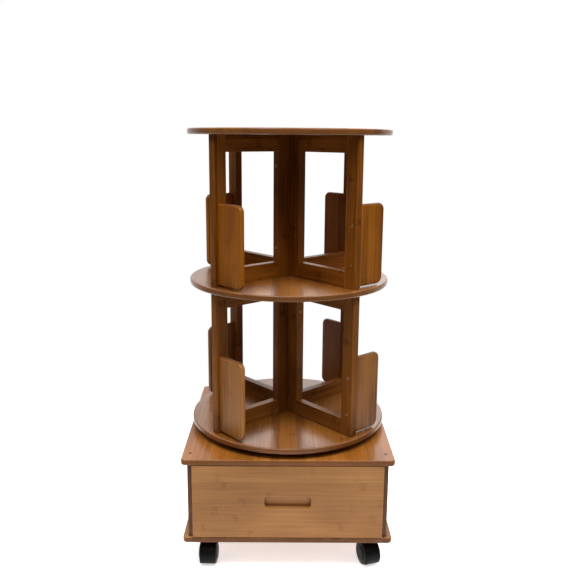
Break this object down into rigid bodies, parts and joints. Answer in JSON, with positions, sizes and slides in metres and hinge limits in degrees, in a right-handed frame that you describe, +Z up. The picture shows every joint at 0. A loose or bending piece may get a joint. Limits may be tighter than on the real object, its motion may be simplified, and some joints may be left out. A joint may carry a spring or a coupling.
{
  "type": "revolving bookcase",
  "caption": "Free-standing bookcase whose round shelves and windowed frames turn on a ball-bearing ring above a square drawer base on swivel castors.",
  "frame": {"origin": "on the floor under the turning axis, at the centre of the base's footprint", "axes": "+Z up along the turning axis, -Y is the drawer front, +X is the right side seen from the front"},
  "size_m": [0.46, 0.46, 0.953],
  "materials": {
    "shelf_bamboo": "satin lacquer, caramel",
    "frame_bamboo": "satin lacquer, caramel",
    "bookend_bamboo": "satin lacquer, caramel",
    "case_bamboo": "satin lacquer, caramel",
    "drawer_bamboo": "satin lacquer, honey",
    "box_bamboo": "plain sanded",
    "screw_steel": "zinc plated",
    "bearing_steel": "polished",
    "turntable_aluminium": "mill",
    "cage_plastic": "moulded",
    "hood_plastic": "fine moulded grain",
    "wheel_plastic": "smooth moulded"
  },
  "bodies": {
    "base": {"base_top": "case_bamboo", "bottom_panel": "case_bamboo", "left_side_panel": "case_bamboo", "right_side_panel": "case_bamboo", "back_panel": "case_bamboo", "case_screws": "screw_steel", "turntable_outer_ring": "turntable_aluminium", "turntable_base_screws": "screw_steel", "castor_plates": "bearing_steel", "castor_stems": "bearing_steel", "castor_screws": "screw_steel"},
    "tower": {"top_shelf": "shelf_bamboo", "middle_shelf": "shelf_bamboo", "lower_shelf": "shelf_bamboo", "upper_double_frame": "frame_bamboo", "upper_frame_front_left": "frame_bamboo", "upper_frame_back_right": "frame_bamboo", "lower_double_frame": "frame_bamboo", "lower_frame_front_right": "frame_bamboo", "lower_frame_back_left": "frame_bamboo", "upper_bookend_front_left": "bookend_bamboo", "upper_bookend_front_right": "bookend_bamboo", "upper_bookend_back_left": "bookend_bamboo", "upper_bookend_back_right": "bookend_bamboo", "lower_bookend_front_left": "bookend_bamboo", "lower_bookend_front_right": "bookend_bamboo", "lower_bookend_back_left": "bookend_bamboo", "lower_bookend_back_right": "bookend_bamboo", "top_shelf_bolts": "screw_steel", "middle_shelf_studs": "screw_steel", "lower_shelf_bolts": "screw_steel", "centre_screws": "screw_steel", "bookend_screws": "screw_steel", "turntable_inner_ring": "turntable_aluminium", "turntable_shelf_screws": "screw_steel"},
    "ball_set": {"ball_cage": "cage_plastic", "turntable_balls": "bearing_steel"},
    "drawer": {"drawer_front": "drawer_bamboo", "drawer_inner_front": "box_bamboo", "drawer_left_side": "box_bamboo", "drawer_right_side": "box_bamboo", "drawer_back": "box_bamboo", "drawer_floor": "box_bamboo", "drawer_screws": "screw_steel"},
    "front_left_castor": {"front_left_castor_hood": "hood_plastic", "front_left_castor_axle": "bearing_steel"},
    "front_left_castor_wheel_a": {"front_left_castor_wheel_a": "wheel_plastic"},
    "front_left_castor_wheel_b": {"front_left_castor_wheel_b": "wheel_plastic"},
    "front_right_castor": {"front_right_castor_hood": "hood_plastic", "front_right_castor_axle": "bearing_steel"},
    "front_right_castor_wheel_a": {"front_right_castor_wheel_a": "wheel_plastic"},
    "front_right_castor_wheel_b": {"front_right_castor_wheel_b": "wheel_plastic"},
    "back_left_castor": {"back_left_castor_hood": "hood_plastic", "back_left_castor_axle": "bearing_steel"},
    "back_left_castor_wheel_a": {"back_left_castor_wheel_a": "wheel_plastic"},
    "back_left_castor_wheel_b": {"back_left_castor_wheel_b": "wheel_plastic"},
    "back_right_castor": {"back_right_castor_hood": "hood_plastic", "back_right_castor_axle": "bearing_steel"},
    "back_right_castor_wheel_a": {"back_right_castor_wheel_a": "wheel_plastic"},
    "back_right_castor_wheel_b": {"back_right_castor_wheel_b": "wheel_plastic"}
  },
  "joints": [
    {"name": "tower_turn", "type": "hinge", "parent": "base", "child": "tower", "pos_m": [0, 0, 0.2665], "axis": [0, 0, 1], "continuous": true},
    {"name": "ball_set_turn", "type": "hinge", "parent": "base", "child": "ball_set", "pos_m": [0, 0, 0.2665], "axis": [0, 0, 1], "continuous": true},
    {"name": "drawer_slide", "type": "slide", "parent": "base", "child": "drawer", "axis": [0, -1, 0], "range_m": [0, 0.28]},
    {"name": "front_left_swivel", "type": "hinge", "parent": "base", "child": "front_left_castor", "pos_m": [-0.175, -0.179, 0.05], "axis": [0, 0, 1], "continuous": true},
    {"name": "front_left_wheel_a_spin", "type": "hinge", "parent": "front_left_castor", "child": "front_left_castor_wheel_a", "pos_m": [-0.17563, -0.19699, 0.025], "axis": [0.9994, -0.0349, 0], "continuous": true},
    {"name": "front_left_wheel_b_spin", "type": "hinge", "parent": "front_left_castor", "child": "front_left_castor_wheel_b", "pos_m": [-0.17563, -0.19699, 0.025], "axis": [0.9994, -0.0349, 0], "continuous": true},
    {"name": "front_right_swivel", "type": "hinge", "parent": "base", "child": "front_right_castor", "pos_m": [0.175, -0.179, 0.05], "axis": [0, 0, 1], "continuous": true},
    {"name": "front_right_wheel_a_spin", "type": "hinge", "parent": "front_right_castor", "child": "front_right_castor_wheel_a", "pos_m": [0.18116, -0.19591, 0.025], "axis": [0.9397, 0.342, 0], "continuous": true},
    {"name": "front_right_wheel_b_spin", "type": "hinge", "parent": "front_right_castor", "child": "front_right_castor_wheel_b", "pos_m": [0.18116, -0.19591, 0.025], "axis": [0.9397, 0.342, 0], "continuous": true},
    {"name": "back_left_swivel", "type": "hinge", "parent": "base", "child": "back_left_castor", "pos_m": [-0.175, 0.179, 0.05], "axis": [0, 0, 1], "continuous": true},
    {"name": "back_left_wheel_a_spin", "type": "hinge", "parent": "back_left_castor", "child": "back_left_castor_wheel_a", "pos_m": [-0.17563, 0.19699, 0.025], "axis": [-0.9994, -0.0349, 0], "continuous": true},
    {"name": "back_left_wheel_b_spin", "type": "hinge", "parent": "back_left_castor", "child": "back_left_castor_wheel_b", "pos_m": [-0.17563, 0.19699, 0.025], "axis": [-0.9994, -0.0349, 0], "continuous": true},
    {"name": "back_right_swivel", "type": "hinge", "parent": "base", "child": "back_right_castor", "pos_m": [0.175, 0.179, 0.05], "axis": [0, 0, 1], "continuous": true},
    {"name": "back_right_wheel_a_spin", "type": "hinge", "parent": "back_right_castor", "child": "back_right_castor_wheel_a", "pos_m": [0.18116, 0.19591, 0.025], "axis": [-0.9397, 0.342, 0], "continuous": true},
    {"name": "back_right_wheel_b_spin", "type": "hinge", "parent": "back_right_castor", "child": "back_right_castor_wheel_b", "pos_m": [0.18116, 0.19591, 0.025], "axis": [-0.9397, 0.342, 0], "continuous": true}
  ],
  "couplings": [
    {"joint": "ball_set_turn", "follows": "tower_turn", "ratio": 0.5}
  ]
}
